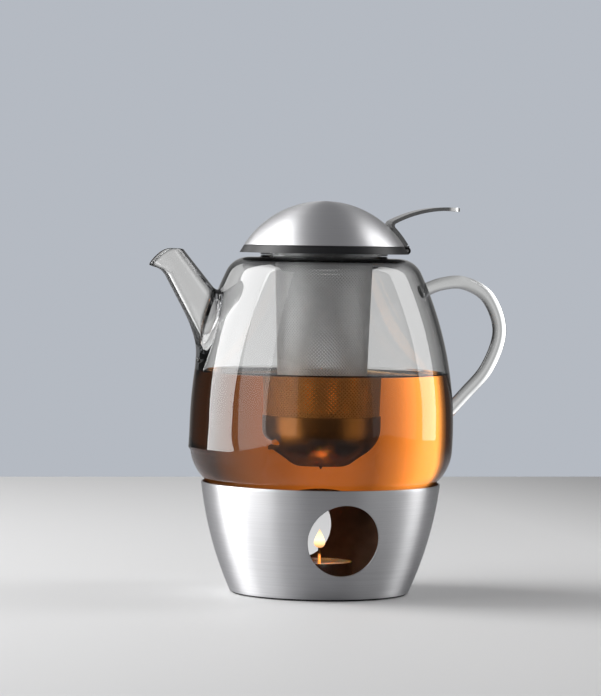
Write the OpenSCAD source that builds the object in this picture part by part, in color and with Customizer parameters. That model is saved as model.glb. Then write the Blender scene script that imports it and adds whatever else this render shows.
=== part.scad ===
// Glass teapot with a strainer and a hinged steel lid, standing on a steel tealight warmer.
// Millimetres, +Z up. The origin is the middle of the warmer's underside, on the pot's axis.
// The spout points along -X, the handle along +X, and the warmer's round windows face -Y and +Y.

/* [Warmer] */
// Thickness of the non-slip pad under the warmer
foot_t = 1.0; // [0.8:0.1:2]
// How far the pad's edge lies inside the edge of the shell's base
foot_inset = 1.5; // [0.5:0.1:3]
// Height of the steel shell, from its base to its rim
warmer_h = 62; // [58:1:75]
// Outer radius of the shell at its base
warmer_base_r = 51; // [48:0.5:56]
// Radius of the curve that the shell's side follows
warmer_curve_r = 205; // [180:5:400]
// Thickness of the shell's steel
warmer_wall = 0.9; // [0.6:0.1:1.4]
// Width of the flange turned in under the shell
base_flange_w = 5; // [3:0.5:10]
// Gap between the glass and the shell's rim
rim_gap = 2.3; // [1:0.1:5]
// Radius of the round windows
window_r = 20.2; // [16:0.2:21]
// Height of the windows' centre above the shell's base
window_up = 33.6; // [28:0.2:33.6]
// Thickness of the steel discs inside the warmer
disc_t = 0.8; // [0.6:0.1:1.2]

/* [Support plate] */
// Height of the shell's rim above the plate's underside
plate_drop = 8; // [7:0.2:8.4]
// Radius of the plate's centre hole
plate_hole_r = 25; // [15:0.5:28]
// Radius of one vent hole
vent_r = 3; // [2:0.25:3.5]
// Number of vent holes
vent_count = 12; // [4:1:16]
// Distance from the plate's edge in to the vents' centres
vent_inset = 8.4; // [5:0.2:11]
// Radius of one silicone rest under the glass
rest_r = 4; // [3:0.25:5]
// Height of a rest above the plate
rest_h = 0.8; // [0.6:0.1:1.5]
// Number of rests
rest_count = 3; // [3:1:6]

/* [Tealight] */
// Radius of the tealight's aluminium cup
tealight_r = 18.9; // [17:0.1:19.4]
// Height of the cup
tealight_h = 15.2; // [12:0.2:18]
// Thickness of the cup
tealight_wall = 0.4; // [0.3:0.05:0.6]
// How far the wax lies below the cup's edge
wax_drop = 2; // [1:0.2:5]
// Radius of the wick
wick_r = 0.8; // [0.5:0.05:1.2]
// Length of wick above the wax
wick_up = 11.5; // [4:0.5:13]
// Radius of the wick clip's foot
clip_r = 7; // [5:0.5:9]
// Radial play between the tealight and its holder
holder_play = 0.6; // [0.4:0.1:1.5]
// Height of the holder's wall above the floor
holder_h = 7; // [5:0.5:10]
// Width of the holder's flange
holder_flange_w = 6; // [5:0.5:10]
// Radius of the head of one rivet
rivet_head_r = 1.8; // [1.4:0.1:2.2]
// Height of the head of one rivet
rivet_head_h = 0.7; // [0.4:0.1:1]
// Number of rivets that hold the holder
rivet_count = 3; // [3:1:6]

/* [Glass pot] */
// Height of the pot from its flat base to its shoulder
pot_h = 134.4; // [120:1:150]
// Largest outer radius of the pot
belly_r = 75.1; // [72:0.5:85]
// Height of the widest place above the pot's base
belly_up = 38.4; // [34:0.5:44]
// Radius of the curve up the pot's side
side_curve_r = 207; // [180:1:260]
// Radius of the curve at the foot of the pot
corner_curve_r = 27.4; // [20:0.2:32]
// Radius of the curve at the shoulder
shoulder_curve_r = 14; // [10:0.5:20]
// Thickness of the glass
glass_t = 2.2; // [1.5:0.1:3]
// Radius of the neck's opening
neck_r = 32; // [30:0.5:34]
// Height of the rounded bead round the opening
bead_h = 1.2; // [0.8:0.1:2]
// Width of that bead
bead_w = 4.2; // [3.6:0.1:5]

/* [Spout] */
// Height on the pot at which the spout's axis leaves the glass
spout_up = 100.3; // [92:0.5:104]
// Length of the spout from the glass to its mouth, along its axis
spout_len = 40; // [30:0.5:46]
// Angle between the spout and the vertical
spout_tilt = 34; // [28:1:42]
// Outer radius of the spout just under its mouth
spout_r = 8; // [6.5:0.25:9]
// Growth of that radius for each millimetre towards the pot
spout_taper = 0.095; // [0.06:0.005:0.12]
// Length of the flare at the spout's root
spout_flare_len = 10.5; // [9:0.5:14]
// Growth of the outer radius over that length
spout_flare = 0.77; // [0.3:0.01:1]
// Thickness of the spout's glass at its mouth
spout_t = 1.8; // [1.4:0.1:2.2]
// Growth of that thickness for each millimetre towards the pot
spout_t_growth = 0.004; // [0:0.001:0.01]
// How far the pouring lip stands out beyond the spout
lip_out = 5.6; // [2:0.2:6]
// How high the middle of the mouth bows above its back edge
lip_rise = 3; // [0:0.2:4]

/* [Handle] */
// How far the handle's centre line stands out beyond the belly
handle_reach = 29.2; // [24:0.5:36]
// Height on the pot of the handle's lower root
handle_low_up = 47.4; // [42:0.5:56]
// Height on the pot of the handle's upper root
handle_high_up = 117.4; // [112:0.5:120]
// Thickness of the glass rod, seen from the side
handle_t = 7; // [6:0.2:9]
// Width of the rod, across the pot
handle_w = 10; // [8:0.5:13]

/* [Strainer] */
// Depth of the strainer, from the top of its seat ring to the bottom of its cup
strainer_depth = 119.8; // [110:0.2:126]
// Outer radius of the steel collar
collar_r = 28.8; // [28:0.1:30.6]
// Thickness of the collar and of its flanges
collar_t = 0.8; // [0.6:0.1:1]
// Length of the collar below the top of the seat ring
collar_h = 8; // [7:0.5:18]
// Radial play of the collar in the seat ring and in the seal
collar_play = 0.1; // [0.1:0.05:0.3]
// Width of the flange on top of the collar
collar_flange_w = 5.5; // [4:0.5:8]
// Outer radius of the mesh where it enters the cup
mesh_low_r = 24.7; // [23:0.05:26]
// Thickness of the mesh
mesh_t = 0.6; // [0.4:0.05:0.8]
// Length of mesh held inside the collar, and inside the cup
mesh_lap = 3; // [2:0.5:4]
// Thickness of the cup's steel
cup_wall = 0.5; // [0.4:0.05:0.8]
// Height of the cup
cup_h = 23; // [20:0.2:30]
// Radius of the curve round the cup's bottom
cup_curve_r = 17; // [12:0.5:18]
// Radius of the drip point under the cup
drip_r = 0.9; // [0.6:0.1:2]
// Length of the drip point
drip_h = 0.5; // [0.3:0.1:2]

/* [Seal and seat ring] */
// Thickness of the silicone seal's flange over the neck
seal_t = 1.1; // [0.8:0.1:1.4]
// Gap between the seal and the glass
seal_gap = 0.3; // [0.2:0.05:0.4]
// How far the seal's plug reaches below the glass's shoulder
seal_depth = 1; // [0:0.5:6]
// Outer radius of the seat ring
ring_r = 48.2; // [46.5:0.1:51]
// Height of the seat ring
ring_h = 4.2; // [3.8:0.1:5.5]
// How far the ring's outer face leans in towards its top
ring_lean = 2.5; // [1:0.1:3]

/* [Lid] */
// Height of the dome
dome_h = 25.3; // [20:0.5:30]
// Thickness of the dome's steel
dome_t = 1.0; // [0.7:0.1:1.4]
// Gap between the dome's rim and the seat ring
lid_gap = 0.2; // [0.1:0.05:0.4]
// How far the dome's rim lies inside the edge of the ring's top
dome_inset = 0.1; // [0:0.1:0.5]
// Thickness of the lever's steel strip
lever_t = 2.0; // [1.4:0.1:2.4]
// Width of the strip
lever_w = 16; // [12:0.5:20]
// How far the lever's tip stands out beyond the seat ring
lever_reach = 31; // [22:0.5:36]
// Height of the lever's tip above the dome's rim
lever_rise = 22.4; // [18:0.2:26]
// Radius of the curve along the top of the lever's arm
lever_curve_r = 69.5; // [55:0.5:100]
// Angle at which the tip slopes down
lever_droop = 6.5; // [0:0.5:12]
// Inner radius of the bend where the lever turns away from the dome
knee_r = 1.5; // [1:0.1:3]

/* [Hinge] */
// Radius of the hinge pin
pin_r = 0.9; // [0.7:0.05:1]
// Radial play of the lever's knuckle on the pin
pin_play = 0.07; // [0.05:0.01:0.09]
// Outer radius of the knuckle
knuckle_r = 2.0; // [1.8:0.1:2.1]
// How far the knuckle lies inside the seat ring's outer edge
knuckle_inset = 0.2; // [0.1:0.1:0.5]
// How far the knuckle's top lies below the top of the ring
knuckle_drop = 0.1; // [0.1:0.05:0.3]
// Gap between the knuckle and the notch behind it
notch_gap = 0.4; // [0.3:0.1:1]
// Length of the ring's ear on each side of the knuckle
ear_w = 2.7; // [2:0.1:4]
// Gap between the knuckle and each ear
ear_gap = 0.3; // [0.2:0.05:0.6]

/* [Hidden] */
$fn = 144;

steel = "silver";
black = "#1a1a1c";
glass = "#cfe0e680";

// A seat that is pressed or spot-welded leaves this much between two curved faces
seat = 0.05;
// Cutting shapes run past what they cut by this much
past = 1;
// Larger than any part, for cutting shapes
far = 200;

// Warmer levels
shell_z = foot_t;
rim_z = shell_z + warmer_h;
floor_z = shell_z + warmer_wall;
floor_top = floor_z + disc_t;
window_z = shell_z + window_up;
plate_z = rim_z - plate_drop;
plate_top = plate_z + disc_t;

// Pot: its wall follows a corner arc, a side arc and a shoulder arc, each tangent to the next
pot_z = plate_top + rest_h;
shoulder_z = pot_z + pot_h;
side_c = [belly_r - side_curve_r, pot_z + belly_up];
corner_cz = pot_z + corner_curve_r;
corner_c = [side_c[0] + leg(side_curve_r - corner_curve_r, side_c[1] - corner_cz), corner_cz];
shoulder_cz = shoulder_z - shoulder_curve_r;
shoulder_c = [side_c[0] + leg(side_curve_r - shoulder_curve_r, shoulder_cz - side_c[1]), shoulder_cz];

// Warmer wall: its rim stands clear of the pot's corner arc
warmer_rim_r = corner_c[0] + leg(corner_curve_r, corner_cz - rim_z) + rim_gap + warmer_wall;
wall_c = bulge_centre([warmer_base_r, shell_z], [warmer_rim_r, rim_z], warmer_curve_r);
vent_ring_r = wall_r(plate_z) - warmer_wall - vent_inset;
rest_ring_r = (plate_hole_r + corner_c[0]) / 2;

// Tealight and its holder
holder_r = tealight_r + holder_play;
holder_flange_r = holder_r + disc_t + holder_flange_w;
rivet_ring_r = holder_r + disc_t + holder_flange_w / 2;
wax_top = floor_top + tealight_h - wax_drop;
clip_z = floor_top + tealight_wall;
clip_t = 0.3;
clip_neck_wall = 0.4;
clip_neck_h = 4;

// Seal, ring and strainer levels
bead_top = shoulder_z + bead_h;
seal_z = bead_top + seal_gap;
ring_z = seal_z + seal_t;
ring_top = ring_z + ring_h;
ring_top_r = ring_r - ring_lean;
seal_in_r = collar_r + collar_play;
seal_out_r = neck_r + bead_w;
ring_in_r = collar_r + collar_play;
collar_z = ring_top - collar_h;
cup_z = ring_top - strainer_depth;
cup_top = cup_z + cup_h;
mesh_z = cup_top - mesh_lap;
mesh_top = collar_z + collar_t + mesh_lap;
// The mesh is pressed into the collar's wall
mesh_top_r = collar_r - collar_t - seat;
cup_r = mesh_r(cup_top) + seat + cup_wall;

// Lid and hinge
dome_z = ring_top + lid_gap;
dome_rim_r = ring_top_r - dome_inset;
dome_R = (dome_rim_r * dome_rim_r + dome_h * dome_h) / (2 * dome_h);
dome_c = [0, dome_z + dome_h - dome_R];
hinge = [ring_r - knuckle_r - knuckle_inset, ring_top - knuckle_r - knuckle_drop];
knuckle_half = lever_w / 2;
ear_in = knuckle_half + ear_gap;
ear_out = ear_in + ear_w;
tip = [ring_r + lever_reach, dome_z + lever_rise];
// Radius, as a share of the strip's thickness, of the round cores inside the lever's bends
core_share = 0.45;
// How far the tab over the knuckle reaches up into the lever's foot
tab_lap = 0.5;

// Handle: a smooth curve through points given as shares of its reach and of its height
handle_points = [
    [-0.65, 0.965], [-0.21, 1.04], [0.27, 1.05], [0.76, 0.93],
    [1, 0.66], [0.76, 0.36], [0.31, 0.14], [-0.11, -0.045],
];
handle_steps = 6;
handle_sides = 24;
// The rod swells by these shares half way along, and at its roots
middle_swell = 0.12;
root_swell = 0.25;

// Spout: rings about a straight axis that leans out from the pot's wall
spout_sides = 48;
spout_z = pot_z + spout_up;
spout_axis = [-sin(spout_tilt), cos(spout_tilt)];
spout_down = [-cos(spout_tilt), -sin(spout_tilt)];
mouth = [-side_r(spout_z), spout_z] + spout_axis * spout_len;
// The root's rings run on this far past the place where the axis meets the glass
root_reach = 26;
spout_root = spout_len + root_reach;
// The bore through the pot's wall starts this far inside that place, and ends this far outside it
bore_inside = 18;
bore_outside = 22;
// Below this depth the spout is round, above it the mouth takes the lip's shape
lip_depth = 7;
spout_rings_outside = 10;
spout_rings_inside = 4;
// Rings over the mouth's edge, from outside to inside. Each has its depth and how far it is drawn
// in from the skin, as shares of the glass's thickness, and its share of the lip's shape
lip_rings_outside = [[2.2, 0, 0.06], [1.1, 0, 0.3], [0.5, 0, 0.68], [0.17, 0.11, 0.93], [0, 0.5, 1]];
lip_rings_inside = [[0.17, 0.11, 0.9], [0.67, 0, 0.6], [1.67, 0, 0.22]];

// The other leg of a right triangle
function leg(hyp, side) = sqrt(hyp * hyp - side * side);

// Centre of the arc of radius rad that bulges outwards from low to high, all [r, z]
function bulge_centre(low, high, rad) =
    let (chord = norm(high - low), out = [high[1] - low[1], low[0] - high[0]] / chord)
    (low + high) / 2 - out * leg(rad, chord / 2);

// Outer radius of the warmer's wall at height z
function wall_r(z) = wall_c[0] + leg(warmer_curve_r, z - wall_c[1]);

// Outer radius of the pot at height z on its side
function side_r(z) = side_c[0] + leg(side_curve_r, z - side_c[1]);

// Upper crossing of two circles in the XZ plane
function crossing(c0, r0, c1, r1) =
    let (d = norm(c1 - c0), u = (c1 - c0) / d, a = (r0 * r0 - r1 * r1 + d * d) / (2 * d))
    c0 + u * a + [-u[1], u[0]] * leg(r0, a);

// Point at t, from 0 to 1, between p[i] and p[i + 1] on a smooth curve through all of p
function between(p, i, t) =
    let (
        a = p[max(i - 1, 0)], b = p[i],
        c = p[i + 1], d = p[min(i + 2, len(p) - 1)]
    )
    (b * 2 + (c - a) * t + (a * 2 - b * 5 + c * 4 - d) * t * t + (b * 3 - a - c * 3 + d) * t * t * t) / 2;

function smooth(p, steps) = concat(
    [for (i = [0:len(p) - 2]) for (k = [0:steps - 1]) between(p, i, k / steps)],
    [p[len(p) - 1]]
);

// Faces between rings of n points each, which follow one another
function skin(rings, n) = [
    for (i = [0:rings - 2]) for (k = [0:n - 1])
        each [
            [i * n + k, i * n + (k + 1) % n, (i + 1) * n + k],
            [i * n + (k + 1) % n, (i + 1) * n + (k + 1) % n, (i + 1) * n + k],
        ]
];

// Turn a profile drawn as [r, z] round the Z axis
module turned() { rotate_extrude() children(); }

// A run of holes or pegs round the axis
module around(count, r) {
    for (i = [0:count - 1]) rotate(360 * (i + 0.5) / count) translate([r, 0, 0]) children();
}

// ---- Warmer ----

// Section of the space inside the warmer's wall, drawn in from its outer face
module warmer_section(inset) {
    intersection() {
        translate(wall_c) circle(warmer_curve_r - inset);
        translate([0, shell_z]) square([far, warmer_h]);
    }
}

// A flat disc whose edge seats against the inside of the warmer's wall
module fitted_disc(z, t) {
    turned() intersection() {
        warmer_section(warmer_wall + seat);
        translate([0, z]) square([far, t]);
    }
}

module non_slip_base() {
    color(black) {
        cylinder(r = warmer_base_r - foot_inset, h = foot_t);
        cylinder(r = warmer_base_r - base_flange_w - seat, h = foot_t + warmer_wall);
    }
}

module warmer_shell() {
    color(steel) difference() {
        turned() {
            difference() {
                warmer_section(0);
                warmer_section(warmer_wall);
            }
            translate([warmer_base_r - base_flange_w, shell_z])
                square([base_flange_w - warmer_wall / 2, warmer_wall]);
        }
        translate([0, 0, window_z]) rotate([90, 0, 0]) cylinder(r = window_r, h = far, center = true);
    }
}

module warmer_floor() {
    color(steel) difference() {
        fitted_disc(floor_z, disc_t);
        around(rivet_count, rivet_ring_r) cylinder(r = rivet_head_r / 2, h = far);
    }
}

// Flanged ring that keeps the tealight in the middle
module tealight_holder() {
    color(steel) difference() {
        union() {
            translate([0, 0, floor_top]) cylinder(r = holder_r + disc_t, h = holder_h);
            translate([0, 0, floor_top]) cylinder(r = holder_flange_r, h = disc_t);
        }
        cylinder(r = holder_r, h = far);
        around(rivet_count, rivet_ring_r) cylinder(r = rivet_head_r / 2, h = far);
    }
}

module holder_rivets() {
    color("dimgray") around(rivet_count, rivet_ring_r) {
        translate([0, 0, floor_z]) cylinder(r = rivet_head_r / 2, h = 2 * disc_t);
        translate([0, 0, floor_top + disc_t]) cylinder(r = rivet_head_r, h = rivet_head_h);
    }
}

module support_plate() {
    color(steel) difference() {
        fitted_disc(plate_z, disc_t);
        cylinder(r = plate_hole_r, h = far);
        around(vent_count, vent_ring_r) cylinder(r = vent_r, h = far);
    }
}

module support_rests() {
    color(black) around(rest_count, rest_ring_r) translate([0, 0, plate_top])
        cylinder(r = rest_r, h = rest_h);
}

// ---- Tealight ----

module tealight_cup() {
    color("gainsboro") translate([0, 0, floor_top]) difference() {
        cylinder(r = tealight_r, h = tealight_h);
        translate([0, 0, tealight_wall]) cylinder(r = tealight_r - tealight_wall, h = far);
    }
}

module wick_clip_shape() {
    translate([0, 0, clip_z]) cylinder(r = clip_r, h = clip_t);
    translate([0, 0, clip_z]) cylinder(r = wick_r + clip_neck_wall, h = clip_neck_h);
}

module tealight_wax() {
    color("ivory") difference() {
        translate([0, 0, clip_z]) cylinder(r = tealight_r - tealight_wall - seat, h = wax_top - clip_z);
        wick_clip_shape();
        cylinder(r = wick_r, h = far);
    }
}

module wick_clip() {
    color("gray") difference() {
        wick_clip_shape();
        translate([0, 0, clip_z + clip_t]) cylinder(r = wick_r, h = far);
    }
}

module wick() {
    color("#33261c") translate([0, 0, clip_z + clip_t])
        cylinder(r = wick_r, h = wax_top + wick_up - clip_z - clip_t);
}

// ---- Glass pot ----

// Section of the pot, drawn in from its outer face: its side, then the corner and the shoulder,
// which both reach a little way into the side
module pot_section(inset) {
    side = side_curve_r - inset;
    low = side_c[1] + side * (corner_c[1] - side_c[1]) / norm(corner_c - side_c);
    high = side_c[1] + side * (shoulder_c[1] - side_c[1]) / norm(shoulder_c - side_c);
    intersection() {
        translate(side_c) circle(side);
        translate([0, low]) square([far, high - low]);
    }
    intersection() {
        union() {
            translate(corner_c) circle(corner_curve_r - inset);
            square([corner_c[0], far]);
        }
        translate([0, pot_z + inset]) square([far, low + past - pot_z - inset]);
    }
    intersection() {
        union() {
            translate(shoulder_c) circle(shoulder_curve_r - inset);
            square([shoulder_c[0], far]);
        }
        translate([0, high - past]) square([far, shoulder_z - inset - high + past]);
    }
}

// Section of the bead round the opening
module bead_section() {
    round = bead_h / 2;
    translate([neck_r, shoulder_z - glass_t]) square([bead_w, glass_t + round]);
    translate([neck_r + round, shoulder_z]) square([bead_w - 2 * round, bead_h]);
    translate([neck_r + round, shoulder_z + round]) circle(round, $fn = 48);
    translate([neck_r + bead_w - round, shoulder_z + round]) circle(round, $fn = 48);
}

module glass_body() {
    color(glass) difference() {
        turned() {
            difference() {
                pot_section(0);
                pot_section(glass_t);
                translate([0, shoulder_cz]) square([neck_r + past, far]);
            }
            bead_section();
        }
        spout_bore();
    }
}

// Outer radius of the spout at a distance below its mouth
function spout_out_r(d) =
    let (flared = max(0, d - spout_len + spout_flare_len) / spout_flare_len)
    spout_r + spout_taper * d + spout_flare * flared * flared;
// Radius of the passage through it
function spout_in_r(d) = spout_r - spout_t + (spout_taper - spout_t_growth) * d;

// The passage through the spout and the pot's wall
module spout_bore() {
    low = spout_len + bore_inside;
    high = spout_len - bore_outside;
    translate([mouth[0], 0, mouth[1]]) rotate([0, -spout_tilt, 0]) translate([0, 0, -low])
        cylinder(r1 = spout_in_r(low), r2 = spout_in_r(high), h = low - high);
}

// Point of the spout's skin: d below the mouth, radius r, at an angle a from its underside,
// with a share of the pouring lip's shape
function spout_point(d, r, a, lip) =
    let (
        under = pow(max(0, cos(a)), 1.5),
        up = lip * (lip_rise * (pow(sin(a), 2) + (1 + cos(a)) / 2) + spout_t / 2),
        side = r * cos(a) + lip_out * lip * under,
        p = mouth + spout_axis * (up - d) + spout_down * side
    )
    [p[0], r * sin(a), p[1]];

// Rings from the root up the outside, over the mouth's edge and down the inside: [d, r, lip]
function spout_rings() =
    let (round = spout_root - lip_depth, out = spout_rings_outside, in = spout_rings_inside)
    concat(
        [for (i = [0:out]) let (d = spout_root - round * i / out) [d, spout_out_r(d), 0]],
        [for (g = lip_rings_outside) let (d = g[0] * spout_t) [d, spout_out_r(d) - g[1] * spout_t, g[2]]],
        [for (g = lip_rings_inside) let (d = g[0] * spout_t) [d, spout_in_r(d) + g[1] * spout_t, g[2]]],
        [for (i = [0:in]) let (d = lip_depth + round * i / in) [d, spout_in_r(d), 0]]
    );

module glass_spout() {
    rings = spout_rings();
    n = spout_sides;
    points = [for (g = rings) for (k = [0:n - 1]) spout_point(g[0], g[1], 360 * k / n, g[2])];
    last = (len(rings) - 1) * n;
    root = [
        for (k = [0:n - 1])
            each [
                [last + k, last + (k + 1) % n, k],
                [last + (k + 1) % n, (k + 1) % n, k],
            ]
    ];
    color(glass) difference() {
        polyhedron(points, concat(skin(len(rings), n), root));
        turned() pot_section(0);
    }
}

// A solid rod of oval section, with its ends trimmed to the pot's wall
module glass_handle() {
    line = [
        for (p = smooth(handle_points, handle_steps)) [
            belly_r + handle_reach * p[0],
            pot_z + handle_low_up + (handle_high_up - handle_low_up) * p[1]
        ]
    ];
    last = len(line) - 1;
    n = handle_sides;
    points = [
        for (i = [0:last])
            let (
                way = line[min(i + 1, last)] - line[max(i - 1, 0)],
                out = [way[1], -way[0]] / norm(way),
                t = i / last,
                swell = 1 + middle_swell * sin(180 * t) + root_swell * pow(abs(2 * t - 1), 12)
            )
            for (k = [0:n - 1])
                let (a = 360 * k / n, q = line[i] + out * (handle_t / 2 * swell * cos(a)))
                [q[0], handle_w / 2 * sin(a), q[1]]
    ];
    caps = [[for (k = [0:n - 1]) n - 1 - k], [for (k = [0:n - 1]) last * n + k]];
    color(glass) difference() {
        polyhedron(points, concat(skin(last + 1, n), caps));
        turned() pot_section(0);
    }
}

// ---- Seal, seat ring and strainer ----

// Silicone ring whose flange rests on the neck's bead and whose plug fits inside the neck
module neck_seal() {
    color(black) turned() {
        translate([seal_in_r, seal_z]) square([seal_out_r - seal_in_r, seal_t]);
        translate([seal_in_r, shoulder_z - seal_depth])
            square([neck_r - seal_gap - seal_in_r, seal_z - shoulder_z + seal_depth + seal_t]);
    }
}

// Ring that the lid shuts on, with a notch and two ears for the hinge
module lid_seat_ring() {
    color(black) difference() {
        union() {
            turned() polygon([
                [ring_in_r, ring_z], [ring_r, ring_z], [ring_top_r, ring_top], [ring_in_r, ring_top]
            ]);
            translate([hinge[0], 0, hinge[1]]) rotate([90, 0, 0])
                cylinder(r = knuckle_r + knuckle_drop, h = 2 * ear_out, center = true);
        }
        translate([hinge[0] - knuckle_r - notch_gap, -ear_in, ring_z - past])
            cube([ring_lean + 2 * knuckle_r + past, 2 * ear_in, ring_h + 2 * past]);
        hinge_pin_shape(pin_r);
    }
}

module hinge_pin_shape(r) {
    translate([hinge[0], 0, hinge[1]]) rotate([90, 0, 0]) cylinder(r = r, h = 2 * ear_out, center = true);
}

module hinge_pin() { color("dimgray") hinge_pin_shape(pin_r); }

module strainer_collar() {
    lip_r = mesh_r(collar_z) + seat;
    color(steel) turned() {
        translate([collar_r - collar_t, collar_z]) square([collar_t, collar_h + collar_t]);
        translate([collar_r - collar_t, ring_top]) square([collar_flange_w + collar_t, collar_t]);
        translate([lip_r, collar_z]) square([collar_r - lip_r, collar_t]);
    }
}

// Outer radius of the mesh at height z
function mesh_r(z) = mesh_low_r + (mesh_top_r - mesh_low_r) * (z - mesh_z) / (mesh_top - mesh_z);

module strainer_mesh() {
    color("darkgray") turned() polygon([
        [mesh_r(mesh_z) - mesh_t, mesh_z], [mesh_r(mesh_z), mesh_z],
        [mesh_r(mesh_top), mesh_top], [mesh_r(mesh_top) - mesh_t, mesh_top],
    ]);
}

// Section of the cup, drawn in from its outer face
module cup_section(inset) {
    middle = [cup_r - cup_curve_r, cup_z + cup_curve_r];
    intersection() {
        union() {
            translate(middle) circle(cup_curve_r - inset);
            translate([0, cup_z + inset]) square([middle[0], cup_h]);
        }
        translate([0, cup_z + inset]) square([far, cup_curve_r - inset]);
    }
    translate([0, middle[1]]) square([cup_r - inset, cup_top - middle[1]]);
}

module strainer_cup() {
    color(steel) turned() difference() {
        cup_section(0);
        cup_section(cup_wall);
        translate([0, cup_top - past]) square([cup_r - cup_wall, 2 * past]);
    }
}

module drip_point() {
    color(steel) difference() {
        translate([0, 0, cup_z - drip_h + drip_r]) {
            sphere(drip_r, $fn = 48);
            cylinder(r = drip_r, h = drip_h);
        }
        translate([0, 0, cup_z]) cylinder(r = 2 * drip_r, h = far);
    }
}

// ---- Lid ----

// The cap of a sphere about the dome's centre that lies above the dome's rim
module dome_solid(r) {
    intersection() {
        translate([0, 0, dome_c[1]]) sphere(r);
        translate([-far / 2, -far / 2, dome_z]) cube(far);
    }
}

module lid_dome() {
    color(steel) difference() {
        dome_solid(dome_R);
        translate([0, 0, dome_c[1]]) sphere(dome_R - dome_t);
    }
}

// Ring of the strip's thickness, between two circles
module strip_ring(centre, inner) {
    translate(centre) difference() {
        circle(inner + lever_t);
        circle(inner);
    }
}

// Wedge that keeps what lies between two directions from a centre
module wedge(centre, a0, a1) {
    steps = 4;
    polygon(concat([centre], [
        for (i = [0:steps]) centre + far * [cos(a0 + (a1 - a0) * i / steps), sin(a0 + (a1 - a0) * i / steps)]
    ]));
}

// One bent strip: rolled round the pin, up the back of the dome, and out over the handle
module lid_lever() {
    hug = dome_R + seat;
    arm_c = tip - lever_curve_r * [sin(lever_droop), cos(lever_droop)];
    knee = crossing(dome_c, hug + lever_t + knee_r, arm_c, lever_curve_r - lever_t - knee_r);
    knee_a = atan2(knee[1] - dome_c[1], knee[0]);
    arm_a = atan2(knee[1] - arm_c[1], knee[0] - arm_c[0]);
    tip_a = atan2(tip[1] - arm_c[1], tip[0] - arm_c[0]);
    rim_a = atan2(dome_z - dome_c[1], dome_rim_r);
    color(steel) difference() {
        intersection() {
            rotate([90, 0, 0]) linear_extrude(lever_w, center = true) {
                // Foot, from the rim to the knee
                intersection() {
                    translate(dome_c) difference() {
                        circle(hug + lever_t);
                        circle(hug - past);
                    }
                    wedge(dome_c, rim_a, knee_a);
                }
                // Knee
                intersection() {
                    strip_ring(knee, knee_r);
                    wedge(knee, arm_a, knee_a + 180);
                }
                // Arm
                intersection() {
                    strip_ring(arm_c, lever_curve_r - lever_t);
                    wedge(arm_c, tip_a, arm_a);
                }
                // Round cores that join the three where they meet
                for (a = [arm_a, knee_a + 180])
                    translate(knee + (knee_r + lever_t / 2) * [cos(a), sin(a)])
                        circle(core_share * lever_t, $fn = 36);
                // Roll round the pin
                translate(hinge) circle(knuckle_r, $fn = 72);
                translate(hinge) square([knuckle_r, dome_z - hinge[1] + tab_lap]);
            }
            // Seen from above, the tip is round
            union() {
                translate([0, -lever_w / 2, 0]) cube([tip[0] - lever_w / 2, lever_w, 2 * far]);
                translate([tip[0] - lever_w / 2, 0, 0]) cylinder(r = lever_w / 2, h = 2 * far);
            }
        }
        dome_solid(hug);
        hinge_pin_shape(pin_r + pin_play);
    }
}

non_slip_base();
warmer_shell();
warmer_floor();
tealight_holder();
holder_rivets();
support_plate();
support_rests();
tealight_cup();
tealight_wax();
wick_clip();
wick();
glass_body();
glass_spout();
glass_handle();
neck_seal();
lid_seat_ring();
hinge_pin();
strainer_collar();
strainer_mesh();
strainer_cup();
drip_point();
lid_dome();
lid_lever();
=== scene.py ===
# %% [markdown]
# # A glass teapot on its tealight warmer
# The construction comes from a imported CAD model, which arrives here as a fixed frame. This lesson
# dresses it: thick blown glass, tea that colours the light, a strainer with real openings, spun and
# brushed steel, and a small flame. Everything is in metres, and the frame is never moved.

# %% Load the frame
import math

import bmesh
import bpy
import numpy as np
from mathutils import Matrix, Vector


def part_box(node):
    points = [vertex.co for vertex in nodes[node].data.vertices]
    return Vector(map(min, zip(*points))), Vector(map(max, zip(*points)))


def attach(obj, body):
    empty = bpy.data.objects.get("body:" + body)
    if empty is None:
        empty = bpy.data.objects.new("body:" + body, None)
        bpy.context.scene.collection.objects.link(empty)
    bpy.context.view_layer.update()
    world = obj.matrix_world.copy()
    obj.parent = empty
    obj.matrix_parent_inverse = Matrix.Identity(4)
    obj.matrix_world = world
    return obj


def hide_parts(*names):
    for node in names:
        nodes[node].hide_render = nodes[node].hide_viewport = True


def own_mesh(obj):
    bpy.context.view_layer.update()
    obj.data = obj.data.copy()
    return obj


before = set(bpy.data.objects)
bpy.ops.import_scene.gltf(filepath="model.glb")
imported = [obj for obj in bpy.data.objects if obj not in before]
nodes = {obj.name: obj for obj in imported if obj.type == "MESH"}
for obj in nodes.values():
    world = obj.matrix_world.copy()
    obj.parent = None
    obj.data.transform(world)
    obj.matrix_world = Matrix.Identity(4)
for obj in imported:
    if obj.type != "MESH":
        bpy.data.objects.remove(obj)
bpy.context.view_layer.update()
MM = 0.001

# %% [markdown]
# ## Places to build from
# A helper reads a node's box in millimetres, so that what is modelled here starts from the frame's
# own levels. A size that a box doesn't show is written down once, and its name is in capitals.


# %% Levels read from the frame
def span(node, axis):
    """Lowest and highest place of a node along an axis, in millimetres."""
    low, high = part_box(node)
    return low[axis] / MM, high[axis] / MM


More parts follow.
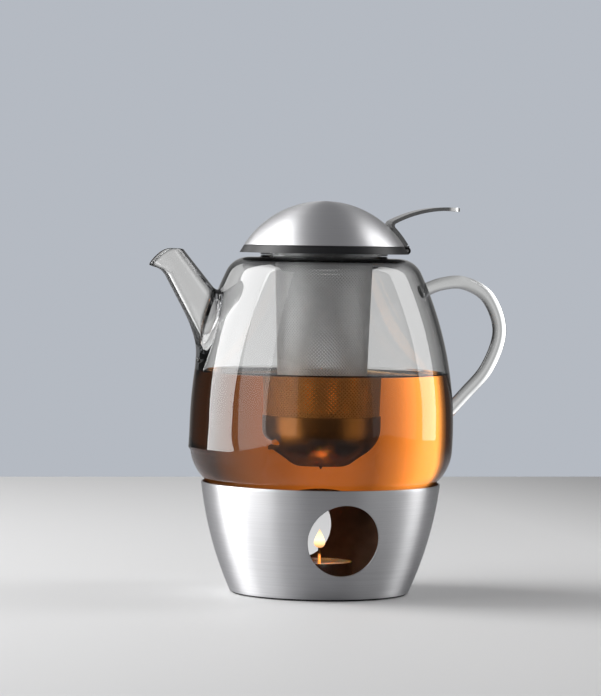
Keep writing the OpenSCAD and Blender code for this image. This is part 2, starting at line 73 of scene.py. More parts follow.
shell_z, rim_z = span("warmer_shell", 2)
SHELL_BASE_R = 51.0
rim_r = span("warmer_shell", 1)[1]
pot_z = span("glass_body", 2)[0]
belly_r = span("glass_body", 1)[1]
SHOULDER_UP = 134.4
shoulder_z = pot_z + SHOULDER_UP
bead_top = span("glass_body", 2)[1]
collar_z, collar_top = span("strainer_collar", 2)
COLLAR_R = 28.8
mesh_z, mesh_top = span("strainer_mesh", 2)
mesh_top_r = span("strainer_mesh", 1)[1]
cup_z, cup_top = span("strainer_cup", 2)
cup_r = span("strainer_cup", 1)[1]
dome_z, dome_top = span("lid_dome", 2)
dome_r = span("lid_dome", 1)[1]
print(f"pot from {pot_z:.1f} to {bead_top:.1f} mm, belly {belly_r:.1f} mm, dome top {dome_top:.1f} mm")

# %% [markdown]
# ## The camera first
# A product picture is taken from far away with a long lens, which keeps upright walls upright. The
# camera stands about two metres off, at the height of the lid, turned twelve degrees towards the
# spout. A tiny roll makes the table run very slightly downhill to the right.

# %% Camera
IMAGE_W = 601
FOCAL_PX = 3450
MM_PER_PX = 0.57
SENSOR_W = 36
TURN = math.radians(12.4)
ROLL = math.radians(0.9)
CAMERA_Z = 207.0
AIM_Z = 139.4
AIM_ASIDE = -12.6

ahead = Vector((math.sin(TURN), math.cos(TURN), 0))
aside = Vector((math.cos(TURN), -math.sin(TURN), 0))
distance = FOCAL_PX * MM_PER_PX
drop = CAMERA_Z - AIM_Z
flat = math.sqrt(distance**2 - drop**2)
aim = (aside * AIM_ASIDE + Vector((0, 0, AIM_Z))) * MM
eye = aim - ahead * flat * MM + Vector((0, 0, drop)) * MM

forward = (aim - eye).normalized()
right = forward.cross(Vector((0, 0, 1))).normalized()
up = right.cross(forward)
rolled_right = right * math.cos(ROLL) + up * math.sin(ROLL)
rolled_up = up * math.cos(ROLL) - right * math.sin(ROLL)

lens = bpy.data.cameras.new("camera")
lens.sensor_fit = "HORIZONTAL"
lens.sensor_width = SENSOR_W
lens.lens = SENSOR_W * FOCAL_PX / IMAGE_W
lens.clip_start = 0.05
lens.clip_end = 20
camera = bpy.data.objects.new("camera", lens)
bpy.context.scene.collection.objects.link(camera)
axes = Matrix((rolled_right, rolled_up, -forward)).transposed().to_4x4()
camera.matrix_world = Matrix.Translation(eye) @ axes
bpy.context.scene.camera = camera
bpy.context.scene.view_settings.view_transform = "Standard"
print(f"camera {distance / 1000:.2f} m away, lens {lens.lens:.0f} mm")

# %% [markdown]
# ## Materials from small parts
# Each finish is a node tree. One helper makes a node, sets its plain values and joins its links, so
# that a finish reads from top to bottom. Another starts a material with its Principled shader. The
# rest are the few joints that come back in every finish: a coordinate, a share, a mix and a ramp.


# %% Node helpers
def add(tree, kind, links=None, **values):
    """One node: values go on its attributes or sockets, links join sockets to it."""
    node = tree.nodes.new("ShaderNode" + kind)
    for key, value in values.items():
        if hasattr(node, key):
            setattr(node, key, value)
        else:
            node.inputs[key.replace("_", " ")].default_value = value
    for key, source in (links or {}).items():
        tree.links.new(source, node.inputs[key])
    return node


def finish_of(name, colour=(0.8, 0.8, 0.8), **values):
    """A new material, its tree and its Principled shader."""
    material = bpy.data.materials.new(name)
    material.use_nodes = True
    tree = material.node_tree
    shader = tree.nodes["Principled BSDF"]
    shader.inputs["Base Color"].default_value = (*colour, 1)
    for key, value in values.items():
        shader.inputs[key.replace("_", " ")].default_value = value
    return material, tree, shader


def grey(v):
    return (v, v, v)


def separate(tree, vector, axis):
    """One coordinate of a vector: X, Y or Z."""
    return add(tree, "SeparateXYZ", {"Vector": vector}).outputs[axis]


def share_between(tree, value, low, high):
    """A value as a share, 0 at low and 1 at high."""
    node = add(tree, "MapRange", {"Value": value})
    node.inputs["From Min"].default_value = low
    node.inputs["From Max"].default_value = high
    return node.outputs["Result"]


def mixed(tree, share, first, second):
    """A mix of two colours, each a plain colour or a socket, by a share."""
    node = add(tree, "Mix", {"Factor": share}, data_type="RGBA")
    for place, source in ((6, first), (7, second)):
        if isinstance(source, tuple):
            node.inputs[place].default_value = (*source, 1)
        else:
            tree.links.new(source, node.inputs[place])
    return node.outputs[2]


def ramp(tree, source, stops):
    """Colours along a value: stops are (place, colour)."""
    node = add(tree, "ValToRGB", {"Fac": source})
    elements = node.color_ramp.elements
    while len(elements) < len(stops):
        elements.new(0.5)
    for element, (place, colour) in zip(elements, stops):
        element.position = place
        element.color = (*colour, 1)
    return node.outputs["Color"]


# %% [markdown]
# ## Brushed steel
# Steel is spun or belted, and the abrasive leaves grooves that run round the piece. They do two
# things. The grooves themselves show as fine lines, and they smear a reflection across the grooves
# while it stays sharp along them. The lines are noise squeezed flat along the height, and the
# smearing is the shader's anisotropy round the upright axis.


# %% Brushed steel
LINES_ROUND = 14


def brushed_steel(name, colour, rough, lines, smear=0.75, depth=0.02):
    """Steel with grooves round the Z axis; lines is how many fall in one metre of height."""
    material, tree, shader = finish_of(
        name, colour, Metallic=1, Roughness=rough, Anisotropic=smear, Anisotropic_Rotation=0.25
    )
    place = add(tree, "TexCoord").outputs["Object"]
    out = add(tree, "VectorMath", {0: place}, operation="MULTIPLY")
    out.inputs[1].default_value = (1, 1, 0)
    radius = add(tree, "VectorMath", {0: out.outputs[0]}, operation="LENGTH").outputs["Value"]
    run = add(tree, "Math", {0: separate(tree, place, "Z"), 1: radius}, operation="SUBTRACT").outputs[0]
    squeezed = add(tree, "VectorMath", {0: out.outputs[0]}, operation="MULTIPLY")
    squeezed.inputs[1].default_value = grey(LINES_ROUND)
    high = add(tree, "Math", {0: run}, operation="MULTIPLY")
    high.inputs[1].default_value = lines
    upright = add(tree, "CombineXYZ", {"Z": high.outputs[0]}).outputs[0]
    groove = add(tree, "VectorMath", {0: squeezed.outputs[0], 1: upright}, operation="ADD")
    fine = add(tree, "TexNoise", {"Vector": groove.outputs[0]}, Scale=1, Detail=3, Roughness=0.7)
    tint = ramp(tree, fine.outputs["Fac"], [(0.25, grey(0.86)), (0.75, grey(1.0))])
    shade = add(tree, "Mix", data_type="RGBA", blend_type="MULTIPLY")
    shade.inputs["Factor"].default_value = 1
    shade.inputs[6].default_value = (*colour, 1)
    tree.links.new(tint, shade.inputs[7])
    tree.links.new(shade.outputs[2], shader.inputs["Base Color"])
    dull = add(tree, "MapRange", {"Value": fine.outputs["Fac"]})
    dull.inputs["To Min"].default_value = rough * 0.85
    dull.inputs["To Max"].default_value = rough * 1.2
    tree.links.new(dull.outputs["Result"], shader.inputs["Roughness"])
    bump = add(tree, "Bump", {"Height": fine.outputs["Fac"]}, Strength=0.25, Distance=depth * MM)
    tree.links.new(bump.outputs["Normal"], shader.inputs["Normal"])
    tangent = add(tree, "Tangent", direction_type="RADIAL", axis="Z")
    tree.links.new(tangent.outputs["Tangent"], shader.inputs["Tangent"])
    return material


warmer_steel = brushed_steel("brushed_warmer_steel", (0.68, 0.68, 0.69), 0.44, 2600, smear=0.9)
dome_steel = brushed_steel("brushed_dome_steel", (0.64, 0.64, 0.65), 0.40, 3200, smear=0.5)
cup_steel = brushed_steel("spun_cup_steel", (0.52, 0.52, 0.52), 0.36, 2600, smear=0.5)
collar_steel = brushed_steel("collar_steel", (0.62, 0.62, 0.62), 0.28, 3000)
print("steels:", [m.name for m in (warmer_steel, dome_steel, cup_steel, collar_steel)])


# %% [markdown]
# ## Plain finishes
# Sheet steel inside the warmer is dull and a little cloudy. The seat ring is satin black plastic, and the
# seals are matt silicone. The lever is polished a little.


# %% Sheet steel, plastic, silicone, aluminium
def clouded(name, colour, rough, metal, scale, swing, bump_height=0.0, **values):
    """A finish whose roughness and shade drift in soft clouds."""
    material, tree, shader = finish_of(name, colour, Metallic=metal, Roughness=rough, **values)
    place = add(tree, "TexCoord").outputs["Object"]
    cloud = add(tree, "TexNoise", {"Vector": place}, Scale=scale, Detail=5, Roughness=0.6).outputs["Fac"]
    dark = tuple(c * (1 - swing) for c in colour)
    tree.links.new(ramp(tree, cloud, [(0.3, dark), (0.7, colour)]), shader.inputs["Base Color"])
    dull = add(tree, "MapRange", {"Value": cloud})
    dull.inputs["To Min"].default_value = rough * 0.8
    dull.inputs["To Max"].default_value = min(1, rough * 1.25)
    tree.links.new(dull.outputs["Result"], shader.inputs["Roughness"])
    if bump_height:
        grain = add(tree, "TexNoise", {"Vector": place}, Scale=scale * 12, Detail=3)
        height = grain.outputs["Fac"]
        bump = add(tree, "Bump", {"Height": height}, Strength=0.3, Distance=bump_height * MM)
        tree.links.new(bump.outputs["Normal"], shader.inputs["Normal"])
    return material


sheet_steel = clouded("sheet_steel", (0.55, 0.55, 0.55), 0.32, 1, 60, 0.12, 0.01)
lever_steel = clouded("lever_steel", (0.70, 0.70, 0.70), 0.24, 1, 90, 0.08, 0.01)
mesh_steel = clouded("mesh_steel", (0.92, 0.92, 0.92), 0.45, 0.5, 200, 0.1)
# Inner wall of the warmer: steel painted dark red-brown, a painted shade with a painted reflection of the tea
# above it.
painted_reflection_steel = clouded("inner_steel_painted_shade_and_tea_reflection", (0.26, 0.14, 0.09), 0.34, 1, 70, 0.35, 0.01)
ring_plastic = clouded(
    "satin_black_plastic", (0.010, 0.010, 0.011), 0.34, 0, 120, 0.2, 0.01, Specular_IOR_Level=0.25
)
silicone = clouded("black_silicone", (0.02, 0.02, 0.02), 0.6, 0, 150, 0.2, 0.02)
clear_silicone = clouded(
    "clear_silicone", (0.93, 0.94, 0.95), 0.22, 0, 150, 0.05, 0.01, IOR=1.41, Transmission_Weight=0.9
)
aluminium = clouded("tealight_aluminium", (0.80, 0.80, 0.81), 0.25, 1, 150, 0.08, 0.02)
print("plain finishes ready")

# %% [markdown]
# ## Glass, tea and wax
# Glass is clear with an index of 1.47. Tea is water, 1.33, with a colour that deepens with the way
# through it: that is absorption in its volume, not a painted surface. Wax lets light in under its
# skin, so the flame makes it glow.


# %% Glass, tea and wax
TEA_Z = 125.4
WICK_TOP = span("wick", 2)[1]


def clear_glass():
    """Clear glass, whose skin hardly reflects where its attribute says that it is wet."""
    material, tree, shader = finish_of(
        "clear_glass", (1, 1, 1), Roughness=0.0, IOR=1.47, Transmission_Weight=1
    )
    wet = add(tree, "Attribute", attribute_name="wet").outputs["Fac"]
    tree.links.new(ramp(tree, wet, [(0, grey(1)), (1, grey(0.08))]), shader.inputs["Specular Tint"])
    absorb = add(tree, "VolumeAbsorption", Density=26.0)
    absorb.inputs["Color"].default_value = (0.45, 0.50, 0.50, 1)
    tree.links.new(absorb.outputs["Volume"], tree.nodes["Material Output"].inputs["Volume"])
    return material


def brewed_tea():
    """Tea that reflects only at its free surface, and not where it meets the glass."""
    material, tree, shader = finish_of(
        "brewed_tea", (1, 1, 1), Roughness=0.0, IOR=1.33, Transmission_Weight=1
    )
    absorb = add(tree, "VolumeAbsorption", Density=30.0)
    absorb.inputs["Color"].default_value = (0.93, 0.59, 0.05, 1)
    tree.links.new(absorb.outputs["Volume"], tree.nodes["Material Output"].inputs["Volume"])
    height = separate(tree, add(tree, "TexCoord").outputs["Object"], "Z")
    surface = add(tree, "Math", {0: height}, operation="GREATER_THAN")
    surface.inputs[1].default_value = (TEA_Z - 0.5) * MM
    tree.links.new(surface.outputs[0], shader.inputs["Specular Tint"])
    return material


def candle_wax():
    material, tree, shader = finish_of(
        "candle_wax", (0.93, 0.88, 0.80), Roughness=0.35, Subsurface_Weight=0.6
    )
    shader.inputs["Subsurface Radius"].default_value = (0.006, 0.003, 0.0015)
    place = add(tree, "TexCoord").outputs["Object"]
    ripple = add(tree, "TexNoise", {"Vector": place}, Scale=160, Detail=3)
    bump = add(tree, "Bump", {"Height": ripple.outputs["Fac"]}, Strength=0.3, Distance=0.1 * MM)
    tree.links.new(bump.outputs["Normal"], shader.inputs["Normal"])
    return material


def burnt_wick():
    """Cotton soaked in wax at the foot, charred above. The waxy foot has a painted orange glow of the flame's
    light.
    """
    material, tree, shader = finish_of("burnt_wick", Roughness=0.85)
    height = separate(tree, add(tree, "TexCoord").outputs["Object"], "Z")
    share = share_between(tree, height, (WICK_TOP - 9.5) * MM, WICK_TOP * MM)
    waxy, soot = (0.95, 0.62, 0.30), (0.025, 0.018, 0.015)
    tone = ramp(tree, share, [(0.0, waxy), (0.30, waxy), (0.48, soot), (1.0, soot)])
    tree.links.new(tone, shader.inputs["Base Color"])
    # Painted light: the waxy foot emits an orange glow that stands in for the flame's light on it.
    painted_wick_glow = ramp(tree, share, [(0.0, (0.7, 0.25, 0.06)), (0.30, (1.0, 0.45, 0.14)), (0.48, grey(0))])
    tree.links.new(painted_wick_glow, shader.inputs["Emission Color"])
    shader.inputs["Emission Strength"].default_value = 0.35
    return material


glass = clear_glass()
wick_cotton = burnt_wick()
tea_liquid = brewed_tea()
wax = candle_wax()
print("tea up to", TEA_Z, "mm, wick up to", round(WICK_TOP, 1), "mm")

# %% [markdown]
# ## Turned pieces
# Most of a teapot is turned: a profile of radius and height, swept round the axis. The helper below
# does it with quads, closes the pole where the profile touches the axis, and shades the skin smooth
# except at real corners.


# %% The lathe
def link(mesh_name, verts, faces, material, corner=35):
    """A mesh object from millimetres, smooth except at corners sharper than the angle given."""
    mesh = bpy.data.meshes.new(mesh_name)
    mesh.from_pydata([tuple(c * MM for c in v) for v in verts], [], faces)
    piece = bpy.data.objects.new(mesh_name, mesh)
    bpy.context.scene.collection.objects.link(piece)
    mesh.materials.append(material)
    tidy(piece, corner)
    return piece


def tidy(piece, corner=35, weld=1e-6):
    """Weld, turn faces outwards and mark the real corners as sharp."""
    work = bmesh.new()
    work.from_mesh(piece.data)
    bmesh.ops.remove_doubles(work, verts=work.verts, dist=weld)
    bmesh.ops.recalc_face_normals(work, faces=work.faces)
    for face in work.faces:
        face.smooth = True
    for edge in work.edges:
        edge.smooth = not edge.is_manifold or edge.calc_face_angle(0) < math.radians(corner)
    work.to_mesh(piece.data)
    work.free()


def arc(centre, radius, start, end, count):
    """Points of an arc as (r, z), angles in degrees from the outward direction."""
    angles = [math.radians(start + (end - start) * i / count) for i in range(count + 1)]
    return [(centre[0] + radius * math.cos(a), centre[1] + radius * math.sin(a)) for a in angles]


def turn(name, profile, material, around=192, closed=True, corner=35):
    """Sweeps a profile of (r, z) in millimetres round the axis."""
    verts, faces = [], []
    for r, z in profile:
        verts += [
            (r * math.cos(2 * math.pi * k / around), r * math.sin(2 * math.pi * k / around), z)
            for k in range(around)
        ]
    rows = len(profile)
    for i in range(rows if closed else rows - 1):
        j = (i + 1) % rows
        if profile[i][0] == 0 and profile[j][0] == 0:
            continue
        for k in range(around):
            n = (k + 1) % around
            faces.append((i * around + k, i * around + n, j * around + n, j * around + k))
    return link(name, verts, faces, material, corner)


print("lathe ready")

# %% [markdown]
# ## The glass wall
# The pot's wall follows three arcs that run into each other: a corner arc at the foot, a long side
# arc and a shoulder arc. The inside follows the same arcs, one wall thickness further in. The
# meeting angles come from the centres, so nothing is drawn by eye.

# %% Arcs of the pot
GLASS_T = 2.2
SIDE_R, CORNER_R, SHOULDER_R = 207.0, 27.4, 14.0
NECK_R, BEAD_W = 32.0, 4.2
side_c = (belly_r - SIDE_R, pot_z + 38.4)


def tangent_centre(radius, height):
    """Centre of an arc of this radius at this height that touches the side arc from inside."""
    rise = height - side_c[1]
    return (side_c[0] + math.sqrt((SIDE_R - radius) ** 2 - rise**2), height)


corner_c = tangent_centre(CORNER_R, pot_z + CORNER_R)
shoulder_c = tangent_centre(SHOULDER_R, shoulder_z - SHOULDER_R)


def slope_to(centre):
    return math.degrees(math.atan2(centre[1] - side_c[1], centre[0] - side_c[0]))


def wall_line(inset, top=None, rows=110):
    """The wall's line from the foot to the shoulder, drawn in by a distance."""
    low, high = slope_to(corner_c), slope_to(shoulder_c)
    line = arc(corner_c, CORNER_R - inset, -90, low, 26)
    line += arc(side_c, SIDE_R - inset, low, high, rows)[1:]
    line += arc(shoulder_c, SHOULDER_R - inset, high, 90, 18)[1:]
    return line


def wall_r(z, inset=0.0):
    """Radius of the wall at a height on its side."""
    return side_c[0] + math.sqrt((SIDE_R - inset) ** 2 - (z - side_c[1]) ** 2)


print("foot and shoulder arc centres:", [[round(v, 1) for v in c] for c in (corner_c, shoulder_c)])

# %% [markdown]
# ## Spout and handle
# Both are drawn out of hot glass and fused on. The spout is a tube about a leaning axis that widens
# towards the pot, and its mouth is folded out into a lip. The handle is a solid rod. Each is built
# as rings of points, so the same skinning function serves both.

# %% Rings and skins
SPOUT_TILT = math.radians(34)
SPOUT_LEN = 40.0
SPOUT_R, SPOUT_TAPER, SPOUT_T = 8.0, 0.095, 1.8
FLARE_LEN, FLARE = 10.5, 0.77
LIP_OUT, LIP_RISE = 5.6, 3.0
SPOUT_UP = 100.3
spout_root_z = pot_z + SPOUT_UP
spout_axis = np.array([-math.sin(SPOUT_TILT), 0, math.cos(SPOUT_TILT)])
spout_down = np.array([-math.cos(SPOUT_TILT), 0, -math.sin(SPOUT_TILT)])
mouth = np.array([-wall_r(spout_root_z), 0, spout_root_z]) + spout_axis * SPOUT_LEN


def flared(d):
    """How far along the flare a place lies, from 0 where it starts to 1 where the axis meets the pot."""
    return np.maximum(0, d - SPOUT_LEN + FLARE_LEN) / FLARE_LEN


def spout_outer(d):
    return SPOUT_R + SPOUT_TAPER * d + FLARE * flared(d) ** 2


def spout_inner(d):
    return SPOUT_R + (SPOUT_TAPER - 0.004) * d - SPOUT_T


def spout_ring(d, r, lip, count=96):
    """A ring round the spout's axis, d below the mouth; lip is its share of the mouth's shape."""
    ring = []
    for k in range(count):
        a = 2 * math.pi * k / count
        under = max(0, math.cos(a)) ** 1.5
        rise = lip * (LIP_RISE * (math.sin(a) ** 2 + (1 + math.cos(a)) / 2) + 0.9)
        side = r * math.cos(a) + LIP_OUT * lip * under
        point = mouth + spout_axis * (rise - d) + spout_down * side
        ring.append((point[0], r * math.sin(a), point[2]))
    return ring


def skin(name, rings, material, corner=35):
    """Joins rings of equal count and closes both ends."""
    count = len(rings[0])
    verts = [p for ring in rings for p in ring]
    faces = []
    for i in range(len(rings) - 1):
        for k in range(count):
            n = (k + 1) % count
            faces.append((i * count + k, i * count + n, (i + 1) * count + n, (i + 1) * count + k))
    faces.append(tuple(range(count - 1, -1, -1)))
    faces.append(tuple((len(rings) - 1) * count + k for k in range(count)))
    return link(name, verts, faces, material, corner)


def ease(points, steps):
    """A smooth curve through points, with so many steps between each two."""
    p = np.array([points[0]] + list(points) + [points[-1]], float)
    out = []
    for i in range(1, len(p) - 2):
        a, b, c, d = p[i - 1 : i + 3]
        for t in np.arange(steps) / steps:
            square, cube = 2 * a - 5 * b + 4 * c - d, 3 * b - a - 3 * c + d
            out.append((2 * b + (c - a) * t + square * t**2 + cube * t**3) / 2)
    out.append(p[-1])
    return np.array(out)


# %% [markdown]
# ## Blowing the vessel
# Glass bends light at every skin, so body, spout and handle must be one closed skin, with no walls
# left inside. The steps are a glassblower's: a solid outer form, the spout and the handle added to
# it, then the hollow taken out. The hollow is a second turned form, and a cone along the spout.

# %% Solid forms of the vessel
def outer_form():
    line = [(0, pot_z)] + wall_line(0)
    line += [(NECK_R + BEAD_W + 1.2, shoulder_z), (NECK_R + BEAD_W, shoulder_z + 0.3)]
    line += arc((NECK_R + BEAD_W - 0.9, bead_top - 0.9), 0.9, 20, 90, 4)
    line += arc((NECK_R + 0.9, bead_top - 0.9), 0.9, 90, 180, 5)
    line += [(NECK_R, shoulder_z - 1.0)]
    return turn("vessel", line + [(0, shoulder_z - 1.0)], glass, around=256, closed=False)


def hollow_form():
    line = [(0, pot_z + GLASS_T)] + wall_line(GLASS_T)
    line += arc((NECK_R + 0.9, shoulder_z - GLASS_T + 0.9), 0.9, 270, 180, 4)
    line += [(NECK_R, bead_top + 3), (0, bead_top + 3)]
    return turn("hollow", line, glass, around=256, closed=False)


# Rings over the mouth's edge: depth and draw-in as shares of the glass's thickness, share of the lip
LIP_OUTSIDE = [
    (2.2, 0, 0.06), (1.6, 0, 0.16), (1.1, 0, 0.3), (0.8, 0, 0.48), (0.5, 0, 0.68), (0.3, 0.04, 0.82),
    (0.17, 0.11, 0.93), (0.05, 0.28, 0.98), (0, 0.5, 1),
]
LIP_INSIDE = [
    (0.05, 0.28, 0.97), (0.17, 0.11, 0.9), (0.4, 0, 0.75), (0.67, 0, 0.6), (1.2, 0, 0.38), (1.67, 0, 0.22),
]
LIP_LEN, RING_STEP = 6, 1.6
SPOUT_IN = 56


def spout_form():
    rings = [spout_ring(SPOUT_IN + 4, spout_outer(SPOUT_IN), 0)]
    rings += [spout_ring(d, spout_outer(d), 0) for d in np.arange(SPOUT_IN, LIP_LEN, -RING_STEP)]
    for share, drawn, lip in LIP_OUTSIDE:
        rings.append(spout_ring(share * SPOUT_T, spout_outer(share * SPOUT_T) - drawn * SPOUT_T, lip))
    for share, drawn, lip in LIP_INSIDE:
        rings.append(spout_ring(share * SPOUT_T, spout_inner(share * SPOUT_T) + drawn * SPOUT_T, lip))
    rings += [spout_ring(d, spout_inner(d), 0) for d in np.arange(LIP_LEN, LIP_LEN + 10, RING_STEP)]
    return skin("spout_form", rings, glass)


def passage_form():
    depths = np.arange(SPOUT_IN + 6, LIP_LEN + 6, -RING_STEP)
    return skin("passage", [spout_ring(d, spout_inner(d) - 0.02, 0) for d in depths], glass)


# The handle's line: its reach as a share sideways, its height as a share upwards
HANDLE_POINTS = [
    (-0.65, 0.965), (-0.21, 1.04), (0.27, 1.05), (0.76, 0.93),
    (1, 0.66), (0.76, 0.36), (0.31, 0.14), (-0.11, -0.045),
]
HANDLE_REACH, HANDLE_UP, HANDLE_H = 29.2, 47.4, 70.0
HANDLE_T, HANDLE_W = 7.0, 10.0


def handle_form():
    low = pot_z + HANDLE_UP
    line = [np.array([belly_r + HANDLE_REACH * p[0], low + HANDLE_H * p[1]]) for p in ease(HANDLE_POINTS, 14)]
    rings = []
    for i, point in enumerate(line):
        way = line[min(i + 1, len(line) - 1)] - line[max(i - 1, 0)]
        out = np.array([way[1], -way[0]]) / np.linalg.norm(way)
        t = i / (len(line) - 1)
        swell = 1 + 0.12 * math.sin(math.pi * t) + 0.25 * abs(2 * t - 1) ** 12
        ring = []
        for k in range(40):
            a = 2 * math.pi * k / 40
            q = point + out * HANDLE_T / 2 * swell * math.cos(a)
            ring.append((q[0], HANDLE_W / 2 * math.sin(a), q[1]))
        rings.append(ring)
    return skin("handle_form", rings, glass)


# %% Join and hollow the vessel
def combine(target, cutter, operation):
    """One exact boolean, after which the second form is thrown away."""
    step = target.modifiers.new("join", "BOOLEAN")
    step.operation = operation
    step.solver = "EXACT"
    step.object = cutter
    bpy.context.view_layer.objects.active = target
    bpy.ops.object.modifier_apply(modifier=step.name)
    bpy.data.objects.remove(cutter, do_unlink=True)


vessel = outer_form()
combine(vessel, spout_form(), "UNION")
combine(vessel, handle_form(), "UNION")
combine(vessel, hollow_form(), "DIFFERENCE")
combine(vessel, passage_form(), "DIFFERENCE")
VESSEL_CORNER, VESSEL_WELD = 60, 2e-6
tidy(vessel, VESSEL_CORNER, VESSEL_WELD)
print("vessel:", len(vessel.data.polygons), "faces")

# %% [markdown]
# ## Soft welds
# Where glass is fused on, heat draws a fillet along the seam. Each form has a distance formula, and
# a smooth union of two distances is zero on a skin with a fillet. The vertices near a seam are
# moved onto that skin, so the mesh stays as it is and the crease melts.


# %% Fillets at the roots
def pot_distance(p):
    """Distance of points outside the pot's side, in millimetres."""
    r = np.hypot(p[:, 0], p[:, 1])
    return np.hypot(r - side_c[0], p[:, 2] - side_c[1]) - SIDE_R


def spout_distance(p):
    q = p - mouth
    d = -(q @ spout_axis)
    off = np.linalg.norm(q + d[:, None] * spout_axis, axis=1)
    slope = SPOUT_TAPER + 2 * FLARE * flared(d) / FLARE_LEN
    return (off - spout_outer(d)) / np.sqrt(1 + slope**2)


def smooth_union(a, b, blend):
    h = np.maximum(blend - np.abs(a - b), 0)
    return np.minimum(a, b) - h * h / (4 * blend)


def melt(piece, first, second, blend, keep, steps=8):
    """Moves the outer vertices that keep() allows onto the filleted skin of two forms."""
    mesh = piece.data
    co = np.empty(len(mesh.vertices) * 3)
    mesh.vertices.foreach_get("co", co)
    p = co.reshape(-1, 3) / MM
    near = np.where(keep(p))[0]

    def field(q):
        return smooth_union(first(q), second(q), blend)

    q = p[near].copy()
    h = 0.01
    for _ in range(steps):
        f = field(q)
        grad = np.stack([(field(q + h * e) - field(q - h * e)) / (2 * h) for e in np.eye(3)], axis=1)
        q -= (f / np.maximum((grad**2).sum(1), 1e-6))[:, None] * grad
    moved = np.linalg.norm(q - p[near], axis=1)
    fine = moved < blend
    p[near[fine]] = q[fine]
    mesh.vertices.foreach_set("co", (p * MM).ravel())
    mesh.update()
    print(f"{piece.name}: {fine.sum()} vertices melted, by up to {moved[fine].max():.2f} mm")


def by_spout(p):
    """The vertices of the outer skin that lie near the spout's seam."""
    a, b = pot_distance(p), spout_distance(p)
    outside = np.abs(np.minimum(a, b)) <= 0.05
    return outside & (p[:, 0] < -40) & (np.abs(a) < 9) & (np.abs(b) < 9)


WELD_FILLET = 5.0
melt(vessel, pot_distance, spout_distance, WELD_FILLET, by_spout)
tidy(vessel, VESSEL_CORNER, VESSEL_WELD)
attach(vessel, "pot")
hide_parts("glass_body", "glass_spout", "glass_handle")

# %% [markdown]
# ## Tea
# The tea is a closed body that reaches a hair into the glass, so that no film of air is left
# between them. Its surface climbs a little where it wets the wall. Glass under the tea hardly
# reflects on its inner side, because glass and tea bend light nearly alike.

# %% Tea
INTO_GLASS = 0.3


def tea_body():
    inset = GLASS_T - INTO_GLASS
    line = [(0, pot_z + inset)]
    line += [p for p in wall_line(inset) if p[1] < TEA_Z + 1.0]
    edge = wall_r(TEA_Z + 1.0, inset)
    line += [(edge, TEA_Z + 1.2), (edge - INTO_GLASS - 0.5, TEA_Z + 0.55), (edge - 1.6, TEA_Z + 0.15)]
    line += [(r, TEA_Z) for r in (edge - 3.2, edge - 8, 40, 20, 0)]
    return turn("tea", line, tea_liquid, around=256, closed=False, corner=60)


def wet_the_glass():
    """Marks the vessel's inner faces under the tea's surface as wet."""
    wet = vessel.data.attributes.new("wet", "FLOAT", "FACE")
    for face in vessel.data.polygons:
        centre, normal = face.center / MM, face.normal
        r = math.hypot(centre.x, centre.y)
        inward = centre.x * normal.x + centre.y * normal.y < -0.3 * r or normal.z > 0.7
        if inward and centre.z < TEA_Z and r < wall_r(max(centre.z, 70), 1.0):
            wet.data[face.index].value = 1
    print("wet faces:", sum(1 for mark in wet.data if mark.value))


tea = tea_body()
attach(tea, "pot")
wet_the_glass()

# %% [markdown]
# ## Strainer
# The mesh is a thin tube with a diamond of steel round every opening. The openings are real, so the
# light comes through them. A cell is four small quads between a diamond and its opening, repeated
# round and up the tube by one loop, and a solidify step gives the sheet its thickness.


# %% Perforated tube
MESH_LOW_R = 24.7


def perforated_tube(pitch=1.42, bar=0.30, thick=0.30):
    around = int(2 * math.pi * (mesh_top_r - 1) / (pitch * math.sqrt(2)))
    rows = int((mesh_top - mesh_z) / (pitch / math.sqrt(2)))
    rise = (mesh_top - mesh_z) / rows

    def at(u, v):
        z = mesh_z + v * rise
        r = MESH_LOW_R + (mesh_top_r - MESH_LOW_R) * (z - mesh_z) / (mesh_top - mesh_z) - thick / 2 - 0.02
        a = 2 * math.pi * u / around
        return (r * math.cos(a), r * math.sin(a), z)

    verts, faces, corner = [], [], {}

    def vertex(key, point):
        if key not in corner:
            corner[key] = len(verts)
            verts.append(point)
        return corner[key]

    open_share = 1 - 2 * bar / pitch
    for row in range(1, rows):
        for k in range(around):
            u = 2 * k + row % 2
            diamond = [(u + 1, row), (u, row + 1), (u - 1, row), (u, row - 1)]
            outer = [vertex((a % (2 * around), b), at(a / 2, b)) for a, b in diamond]
            inner = []
            for a, b in diamond:
                inner.append(len(verts))
                verts.append(at((u + (a - u) * open_share) / 2, row + (b - row) * open_share))
            for i in range(4):
                j = (i + 1) % 4
                faces.append((outer[i], outer[j], inner[j], inner[i]))
    piece = link("strainer_tube", verts, faces, mesh_steel, 60)
    body = piece.modifiers.new("sheet", "SOLIDIFY")
    body.thickness = thick * MM
    body.offset = 0
    bpy.context.view_layer.objects.active = piece
    bpy.ops.object.modifier_apply(modifier=body.name)
    print("strainer tube:", around * (rows - 1), "openings,", len(piece.data.polygons), "faces")
    return piece


tube = perforated_tube()
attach(tube, "strainer")
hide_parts("strainer_mesh")


# %% Cup and collar
def steel_cup():
    wall, curve = 0.5, 17.0
    middle = (cup_r - curve, cup_z + curve)
    outer = [(0, cup_z)] + arc(middle, curve, -90, 0, 28) + [(cup_r, cup_top - 0.25)]
    rim = arc((cup_r - wall / 2, cup_top - wall / 2), wall / 2, 0, 180, 6)
    inner = [(cup_r - wall, cup_top - 1)] + arc(middle, curve - wall, 0, -90, 28) + [(0, cup_z + wall)]
    return turn("spun_cup", outer + rim + inner, cup_steel, closed=False)


